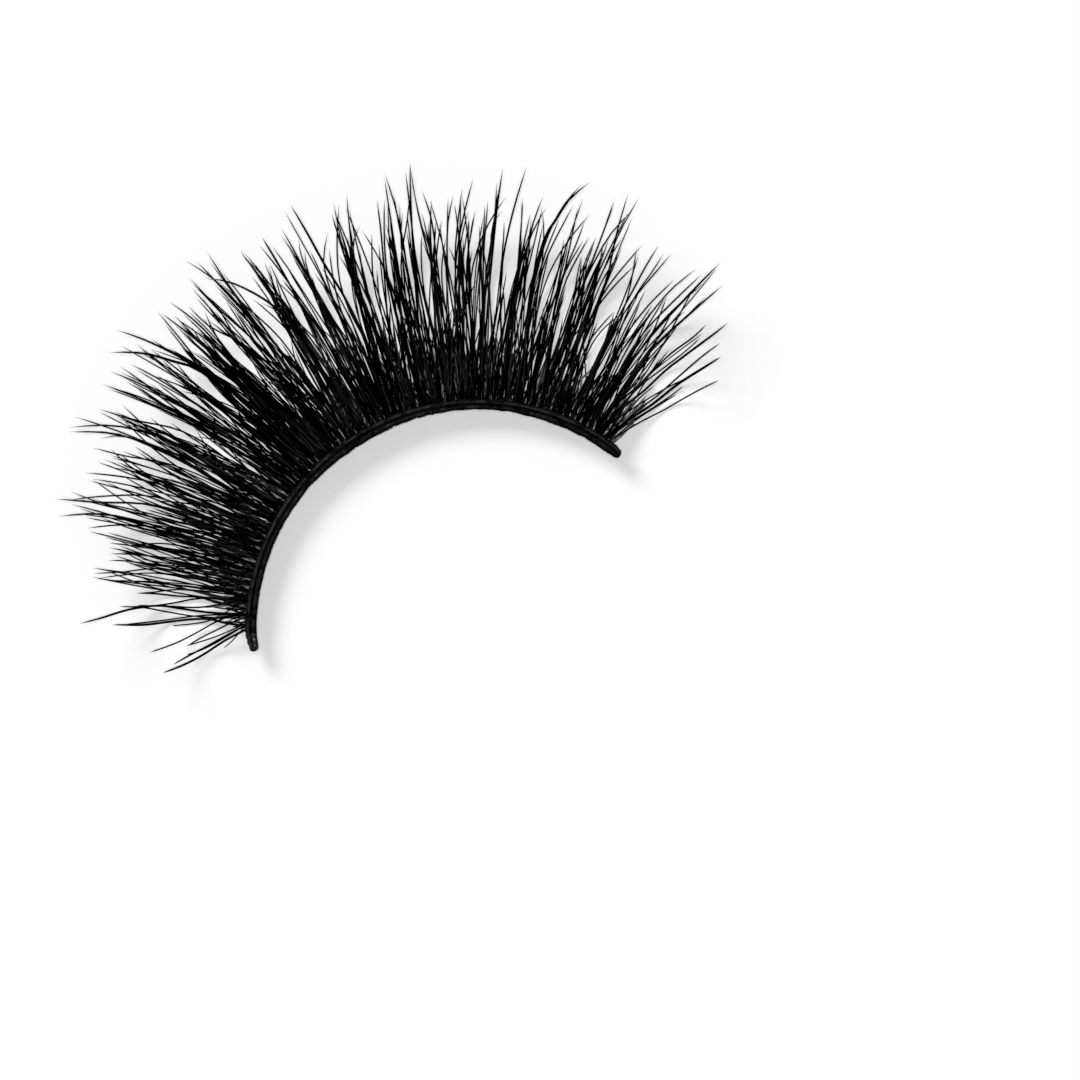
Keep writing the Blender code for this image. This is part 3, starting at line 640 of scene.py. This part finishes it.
class HairMesh:
    """Collects tapered tubes into one mesh."""

    def __init__(self):
        self.points = []
        self.faces = []
        self.tones = []
        self.layers = []
        self.count = 0

    def add(self, along, out, lift, radius, tone, layer):
        """One hair along the given places, lifted off the layer's middle, with a closed root and a point."""
        height = np.array([layer_height(a, o) for a, o in zip(along, out)]) + lift
        height = np.maximum(height, radius + FLOOR_GAP - ARC_CENTRE.z)
        path = strip_points(along, out, height)
        step = np.gradient(path, axis=0)
        step /= np.linalg.norm(step, axis=1)[:, None]
        side = np.cross(step, (0.0, 0.0, 1.0))
        side /= np.linalg.norm(side, axis=1)[:, None]
        over = np.cross(side, step)
        turn = np.linspace(0, 2 * math.pi, HAIR_SIDES, endpoint=False)[None, :, None]
        ring = side[:, None, :] * np.cos(turn) + over[:, None, :] * np.sin(turn)
        tube = path[:-1, None, :] + ring[:-1] * radius[:-1, None, None]
        self.points.append(tube.reshape(-1, 3))
        self.points.append(path[-1:])
        faces = self.hair_faces(len(path) - 1)
        self.faces.extend(faces)
        self.layers.extend([layer] * len(faces))
        new_points = len(tube) * HAIR_SIDES + 1
        self.tones.extend([tone] * new_points)
        self.count += new_points

    def hair_faces(self, rings):
        """The faces of a hair whose points come next: its sides, the cone at its tip and its root's cap."""
        faces = []
        for row in range(rings - 1):
            near = self.count + row * HAIR_SIDES
            far = near + HAIR_SIDES
            for k in range(HAIR_SIDES):
                after = (k + 1) % HAIR_SIDES
                faces.append((near + k, far + k, far + after, near + after))
        last = self.count + (rings - 1) * HAIR_SIDES
        tip = last + HAIR_SIDES
        for k in range(HAIR_SIDES):
            faces.append((last + k, tip, last + (k + 1) % HAIR_SIDES))
        faces.append(tuple(self.count + k for k in reversed(range(HAIR_SIDES))))
        return faces

    def build(self, name, materials):
        """The object of all the hairs, with each hair's tone on its points."""
        mesh = bpy.data.meshes.new(name)
        mesh.from_pydata(np.vstack(self.points).tolist(), [], self.faces)
        mesh.attributes.new(TONE, "FLOAT", "POINT").data.foreach_set("value", self.tones)
        for material in materials:
            mesh.materials.append(material)
        mesh.polygons.foreach_set("material_index", self.layers)
        mesh.shade_smooth()
        return linked(name, mesh)


def taper(share, thickness):
    """Radius along a hair: full for most of its length, then down to a fine tip."""
    past = np.clip((share - TAPER_FROM) / (1 - TAPER_FROM), 0, 1)
    return TIP_RADIUS + (thickness * HAIR_RADIUS - TIP_RADIUS) * (1 - past**TAPER_POWER)


def tuft_of(root):
    """The number of the tuft whose stretch of band holds this root."""
    for number, row in enumerate(TUFTS):
        if root < row.root_to * MM:
            return number
    return len(TUFTS) - 1


def gathered(rng, root):
    """A root moved into the nearest small bundle, and kept on the part of the band that has hair."""
    bundle = round(root / ROOT_BUNDLE) * ROOT_BUNDLE + rng.normal(0, BUNDLE_SPREAD)
    return min(max(bundle, TUFTS[0].root_from * MM), TUFTS[-1].root_to * MM)


def start_out(rng):
    """Where a hair starts, a little inside the band's outer edge."""
    return BAND_WIDTH - rng.uniform(*START_INSIDE)


def draw_hair(meshes, rng, kind, way, thickness):
    """A hair along a way of (along, out) places from root to tip, in the tuft that holds its root."""
    alongs = [place[0] for place in way]
    outs = [place[1] for place in way]
    share = np.linspace(0, 1, kind.steps)
    out = outs[0] + (outs[-1] - outs[0]) * share
    along = smooth_through(outs, alongs, out)
    long_bend = rng.normal(0, LONG_BEND) * np.sin(math.pi * share)
    short_bend = rng.normal(0, SHORT_BEND) * np.sin(2 * math.pi * share)
    root_lift = rng.uniform(-ROOT_LIFT, ROOT_LIFT)
    room = cad_box[1][2] - ARC_CENTRE.z - layer_height(along[-1], out[-1]) - TOP_GAP
    tip_lift = min(rng.normal(0, kind.scatter), room)
    lift = root_lift * (1 - share) ** 2 + tip_lift * share**2
    if kind.layer == UNDER:
        lift = lift - UNDER_DEPTH
    bent = along + kind.bend * (long_bend + short_bend)
    mesh = meshes[tuft_of(alongs[0])]
    mesh.add(bent, out, lift, taper(share, thickness), rng.random(), kind.layer)


def charted_hairs(meshes, rng):
    """The strays and the single hairs that stand out at the tips. Returns how many run through each knot."""
    for row in STRAYS:
        way = [(along * MM, out * MM) for along, out in row.way]
        draw_hair(meshes, rng, STRAY, way, row.thickness)
    through = [0] * len(KNOTS)
    for row in HAIRS:
        places = [(along * MM, out * MM) for along, out in row[1:]]
        foot_along, foot_out = places[0]
        misses = [
            math.hypot(foot_along - knot.along * MM, (foot_out - knot.out * MM) / KNOT_STRETCH)
            for knot in KNOTS
        ]
        through[int(np.argmin(misses))] += 1
        spread = ROOT_SPREAD * foot_out / LONG_REACH
        root = gathered(rng, lean_back(foot_along, foot_out) + rng.uniform(-1, 1) * spread)
        way = [(root, start_out(rng)), *places]
        draw_hair(meshes, rng, CHARTED, way, row.thickness)
    return through


def aimed_at(rng, tips, wanted, knot_out):
    """The charted tip past a knot whose own root lies nearest to a wanted one, give or take a little."""
    further = [tip for tip in tips if tip[1] > knot_out + PAST_KNOT]
    return min(further, key=lambda tip: abs(lean_back(*tip) - wanted) + rng.uniform(0, AIM_SLACK))


def crossed_way(rng, knot, side, count, tips):
    """A hair's way through a knot, from a root on one side to part of the way to a tip on the other."""
    knot_along, knot_out = knot.along * MM, knot.out * MM
    centre = lean_back(knot_along, knot_out)
    spread = ROOT_SPREAD if knot.hairs > SMALL_KNOT else SMALL_KNOT_SPREAD
    root = gathered(rng, centre + spread * side)
    passing = knot_along + side * count / 2 * HAIR_PITCH + rng.normal(0, PITCH_NOISE)
    tip_along, tip_out = aimed_at(rng, tips, centre - side * CROSSING, knot_out)
    ending = 1 - ENDING_SPREAD * rng.random() ** ENDING_POWER
    if knot_out < LOW_KNOT_SHARE * tip_out:
        ending = rng.uniform(*LOW_KNOT_RUN) / (tip_out - knot_out)
    aim = tip_along + rng.normal(0, AIM_NOISE)
    end = (passing + (aim - passing) * ending, knot_out + (tip_out - knot_out) * ending)
    return ((root, start_out(rng)), (passing, knot_out), end)


def crossed_hairs(meshes, rng, drawn):
    """The rest of every knot's hairs, beside the charted ones that are drawn already."""
    tips = [row.tip for row in HAIRS] + [tip for row in TUFTS for tip in row.tips]
    tips = [(along * MM, out * MM) for along, out in tips]
    for knot, already in zip(KNOTS, drawn):
        count = max(round(knot.hairs * KNOT_FILL) - already, 1)
        for order in range(count):
            side = (2 * order + 1) / count - 1
            way = crossed_way(rng, knot, side, count, tips)
            draw_hair(meshes, rng, CROSSED, way, rng.uniform(*CROSSED_THICKNESS))


def short_hairs(meshes, rng):
    """The short hairs that make the root dense, crossing one another at small angles."""
    for row in TUFTS:
        count = int((row.root_to - row.root_from) * row.short * SHORT_FILL)
        for _ in range(count):
            root = rng.uniform(row.root_from, row.root_to) * MM
            run = (reach_at(root) - ROOT_OUT) * rng.uniform(*SHORT_REACH)
            reach = ROOT_OUT + run
            lean = rng.normal(0, SHORT_LEAN)
            way = ((root, start_out(rng)), (lean_on(root, reach) + lean * run, reach))
            draw_hair(meshes, rng, SHORT, way, rng.uniform(*SHORT_THICKNESS))


def painted_shade_hairs(meshes, rng):
    """Short grey hairs below the others, as painted shade: they show dark grey through the gaps at the root,
    for the floor in shade.
    """
    for row in TUFTS[1:]:
        for _ in range(int((row.root_to - row.root_from) * SHADE_HAIRS_PER_MM)):
            root = rng.uniform(row.root_from, row.root_to) * MM
            run = (reach_at(root) - ROOT_OUT) * rng.uniform(*SHADE_HAIR_REACH)
            reach = ROOT_OUT + run
            start = (root, start_out(rng))
            lean = rng.normal(0, SHORT_LEAN)
            way = (start, (lean_on(root, reach) + lean * run, reach))
            draw_hair(meshes, rng, PAINTED_SHADE_HAIR, way, SHADE_HAIR_THICKNESS)


def wisps(meshes, rng):
    """The shortest ends, which cross steeply beside the band."""
    first, last = WISPS_FROM_TO
    for _ in range(int((last - first) / MM * WISPS_PER_MM)):
        root = rng.uniform(first, last)
        run = rng.uniform(*WISP_REACH)
        reach = ROOT_OUT + run
        lean = min(max(rng.normal(0, WISP_LEAN), -WISP_LEAN_LIMIT), WISP_LEAN_LIMIT)
        way = ((root, start_out(rng)), (lean_on(root, reach) + lean * run, reach))
        draw_hair(meshes, rng, WISP, way, rng.uniform(*WISP_THICKNESS))


def hair_pieces(materials):
    """One mesh of hairs for each tuft, in its place."""
    rng = np.random.default_rng(HAIR_SEED)
    meshes = [HairMesh() for _ in TUFTS]
    drawn = charted_hairs(meshes, rng)
    crossed_hairs(meshes, rng, drawn)
    short_hairs(meshes, rng)
    painted_shade_hairs(meshes, rng)
    wisps(meshes, rng)
    for number, mesh in enumerate(meshes):
        piece = mesh.build(f"hair_tuft_{number + 1:02d}", materials)
        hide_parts(f"lash_tuft_{number + 1:02d}")
        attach(piece, "root")


def section_at(inner, outer, height):
    """The band's section as points of (out, height), evenly spread around its outline."""
    corners = [(inner + (outer - inner) * row.across, row.height * height) for row in BAND_SECTION]
    corners = np.array(corners + corners[:1])
    steps = np.linalg.norm(np.diff(corners, axis=0), axis=1)
    passed = np.concatenate(([0.0], np.cumsum(steps)))
    places = np.linspace(0, passed[-1], SECTION_POINTS, endpoint=False)
    points = np.column_stack([np.interp(places, passed, corners[:, k]) for k in (0, 1)])
    eased = (np.roll(points, 1, axis=0) + 2 * points + np.roll(points, -1, axis=0)) / 4
    return eased * MM


def wander(rng, count, spacing, size):
    """A smooth run of small seeded ups and downs."""
    marks = max(int(count / spacing) + 2, 4)
    return size * np.interp(np.linspace(0, marks - 1, count), range(marks), rng.normal(0, 1, marks))


def glue_drop(along, roughness):
    """How far the glue's edge stands out past the band's plain arc, away from the hair."""
    edge = np.interp(along / MM, [row.along for row in GLUE_EDGE], [row.out for row in GLUE_EDGE])
    drop = roughness + EDGE_ROUNDING - edge * MM
    for row in NICKS:
        drop += row.depth * MM * max(0.0, 1 - abs(along / MM - row.along) / (row.length / 2))
    return drop


def band_ring(along, roughness, knot):
    """The points around the band here, with its glue's edge, twisted thread and knots at the roots."""
    table = np.array(BAND_RINGS)
    inner, outer, height = (np.interp(along / MM, table[:, 0], table[:, k]) for k in (1, 2, 3))
    section = section_at(inner, outer, height)
    out, rise = section[:, 0], section[:, 1]
    across = (out / MM - inner) / (outer - inner)
    edge = np.clip(1 - across / EDGE_SHARE, 0, 1)
    ridge = np.clip(1 - abs(across - RIDGE_MIDDLE) / RIDGE_HALF_WIDTH, 0, 1) * (rise > 0)
    root_side = np.clip((across - ROOT_SIDE_FROM) / ROOT_SIDE_WIDTH, 0, 1)
    out = out - edge * glue_drop(along, roughness) * height
    twist = np.cos(2 * math.pi * (along / THREAD_PITCH) + THREAD_SLANT * out)
    rise = rise + ridge * THREAD_DEPTH * twist
    bump = math.cos(2 * math.pi * along / ROOT_BUNDLE) + knot
    out = out + root_side * KNOT_DEPTH * bump
    return strip_points(np.full(SECTION_POINTS, along), out, BAND_HEIGHT + rise)


def band_faces(rings):
    """The faces between the rings, and then the two end caps."""
    faces = []
    for place in range(rings - 1):
        near, far = place * SECTION_POINTS, (place + 1) * SECTION_POINTS
        for k in range(SECTION_POINTS):
            after = (k + 1) % SECTION_POINTS
            faces.append((near + k, near + after, far + after, far + k))
    faces.append(tuple(reversed(range(SECTION_POINTS))))
    faces.append(tuple((rings - 1) * SECTION_POINTS + k for k in range(SECTION_POINTS)))
    return faces


def colour_band(mesh, alongs):
    """A shiny tail of glue at the left end, and thread along the ridge. The rest keeps the glue's film."""
    wide = section_at(0, 1, 1)
    on_thread = (wide[:, 1] > 0) & (wide[:, 0] > THREAD_FROM * MM) & (wide[:, 0] < THREAD_TO * MM)
    for face in list(mesh.polygons)[:-2]:
        place, side = divmod(face.index, SECTION_POINTS)
        if alongs[place] < TAIL_LENGTH:
            face.material_index = TAIL
        elif on_thread[side]:
            face.material_index = THREAD


def band_piece(materials):
    """The band with its twisted thread ridge, knots at the roots, and an uneven edge of dried glue."""
    rng = np.random.default_rng(BAND_SEED)
    first, last = BAND_RINGS[0].along * MM, BAND_RINGS[-1].along * MM
    count = int((last - first) / BAND_STEP) + 1
    alongs = np.linspace(first, last, count)
    glue = wander(rng, count, *GLUE_SWELL) + wander(rng, count, *GLUE_GRAIN)
    knots = wander(rng, count, *KNOT_SWELL)
    rings = [band_ring(*place) for place in zip(alongs, glue, knots)]
    mesh = bpy.data.meshes.new("band_of_thread")
    mesh.from_pydata(np.vstack(rings).tolist(), [], band_faces(count))
    for material in materials:
        mesh.materials.append(material)
    colour_band(mesh, alongs)
    mesh.shade_smooth()
    piece = linked("band_of_thread", mesh)
    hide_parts("lash_band")
    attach(piece, "root")


def noise_node(nodes, links, place, scale, detail):
    """A noise over the object's own space."""
    noise = nodes.new("ShaderNodeTexNoise")
    noise.inputs["Scale"].default_value = scale
    noise.inputs["Detail"].default_value = detail
    links.new(place.outputs["Object"], noise.inputs["Vector"])
    return noise


def spread_node(nodes, links, source, source_span, span):
    """The source's values, spread from its own span over another."""
    spread = nodes.new("ShaderNodeMapRange")
    spread.inputs["From Min"].default_value, spread.inputs["From Max"].default_value = source_span
    spread.inputs["To Min"].default_value, spread.inputs["To Max"].default_value = span
    links.new(source.outputs["Fac"], spread.inputs["Value"])
    return spread


def dark_material(look):
    """A near-black material: tone and surface vary in small grains, and shine in patches or by hair."""
    material = bpy.data.materials.new(look.name)
    material.use_nodes = True
    nodes, links = material.node_tree.nodes, material.node_tree.links
    shader = nodes["Principled BSDF"]
    place = nodes.new("ShaderNodeTexCoord")
    grain = noise_node(nodes, links, place, look.grain, GRAIN_DETAIL)
    ramp = nodes.new("ShaderNodeValToRGB")
    for stop, position, grey in zip(ramp.color_ramp.elements, NOISE_SPAN, look.colour):
        stop.position = position
        stop.color = (grey, grey, grey * BLUE_SHARE, 1)
    links.new(grain.outputs["Fac"], ramp.inputs["Fac"])
    links.new(ramp.outputs["Color"], shader.inputs["Base Color"])
    rough = spread_node(nodes, links, grain, NOISE_SPAN, look.roughness)
    links.new(rough.outputs["Result"], shader.inputs["Roughness"])
    if look.patch is None:
        tone = nodes.new("ShaderNodeAttribute")
        tone.attribute_name = TONE
        shine = spread_node(nodes, links, tone, TONE_SPAN, look.shine)
    else:
        patch = noise_node(nodes, links, place, look.patch, PATCH_DETAIL)
        shine = spread_node(nodes, links, patch, NOISE_SPAN, look.shine)
    links.new(shine.outputs["Result"], shader.inputs["Specular IOR Level"])
    bump = nodes.new("ShaderNodeBump")
    bump.inputs["Strength"].default_value = RELIEF_STRENGTH
    bump.inputs["Distance"].default_value = look.relief * MM
    links.new(grain.outputs["Fac"], bump.inputs["Height"])
    links.new(bump.outputs["Normal"], shader.inputs["Normal"])
    return material


def floor():
    """A plain white surface, without any shine."""
    mesh = bpy.data.meshes.new("floor")
    size = FLOOR_HALF_WIDTH
    corners = [(x * size, y * size, 0) for x, y in ((-1, -1), (1, -1), (1, 1), (-1, 1))]
    mesh.from_pydata(corners, [], [(0, 1, 2, 3)])
    thing = linked("floor", mesh)
    material = bpy.data.materials.new("floor")
    material.use_nodes = True
    shader = material.node_tree.nodes["Principled BSDF"]
    shader.inputs["Base Color"].default_value = (FLOOR_GREY, FLOOR_GREY, FLOOR_GREY, 1)
    shader.inputs["Roughness"].default_value = 1.0
    shader.inputs["Specular IOR Level"].default_value = 0.0
    mesh.materials.append(material)


def picture_axes():
    """The directions of the picture's right and up, on the floor."""
    right = Vector((math.cos(CHORD_TURN), -math.sin(CHORD_TURN), 0))
    up = Vector((math.sin(CHORD_TURN), math.cos(CHORD_TURN), 0))
    return right, up


def camera():
    """A camera far above, so that the band is as large and in the same place as in the photograph."""
    right, up = picture_axes()
    half = PHOTO_PIXELS / 2
    across = (half - ARC_CENTRE_PIXEL[0]) / PIXELS_PER_MM * MM
    upward = (ARC_CENTRE_PIXEL[1] - half) / PIXELS_PER_MM * MM
    aim = Vector((ARC_CENTRE.x, ARC_CENTRE.y, 0)) + right * across + up * upward
    data = bpy.data.cameras.new("camera")
    width = PHOTO_PIXELS / PIXELS_PER_MM * MM
    data.sensor_width = SENSOR_WIDTH
    data.lens = SENSOR_WIDTH * (CAMERA_HEIGHT - BAND_HEIGHT) / width
    data.clip_start, data.clip_end = CLIP_FROM_TO
    thing = linked("camera", data)
    thing.location = aim + Vector((0, 0, CAMERA_HEIGHT))
    thing.rotation_euler = (0, 0, -CHORD_TURN)
    bpy.context.scene.camera = thing


def sun(name, direction, strength, spread):
    """A light from far away that shines in this direction. A wider spread makes softer shadows."""
    data = bpy.data.lights.new(name, "SUN")
    data.energy = strength
    data.angle = spread
    thing = linked(name, data)
    thing.rotation_euler = direction.to_track_quat("-Z", "Y").to_euler()


def lights():
    """A soft key light from the picture's upper left, a sharper one overhead, and a little all round."""
    right, up = picture_axes()
    travel = (right * KEY_RIGHT - up * KEY_DOWN).normalized()
    down = Vector((0, 0, -1))
    ray = travel * math.sin(KEY_STEEPNESS) + down * math.cos(KEY_STEEPNESS)
    sun("key", ray, KEY_STRENGTH, KEY_SPREAD)
    sun("overhead", down, OVERHEAD_STRENGTH, OVERHEAD_SPREAD)
    world = bpy.data.worlds.new("studio")
    bpy.context.scene.world = world
    world.use_nodes = True
    backdrop = world.node_tree.nodes["Background"]
    backdrop.inputs["Color"].default_value = (1, 1, 1, 1)
    backdrop.inputs["Strength"].default_value = SKY_STRENGTH


def main():
    camera()
    lights()
    floor()
    hair_pieces([dark_material(look) for look in (HAIR_LOOK, PAINTED_SHADE_LOOK)])
    band_piece([dark_material(look) for look in (FILM_LOOK, THREAD_LOOK, TAIL_LOOK)])
    bpy.context.scene.view_settings.view_transform = "Standard"


main()
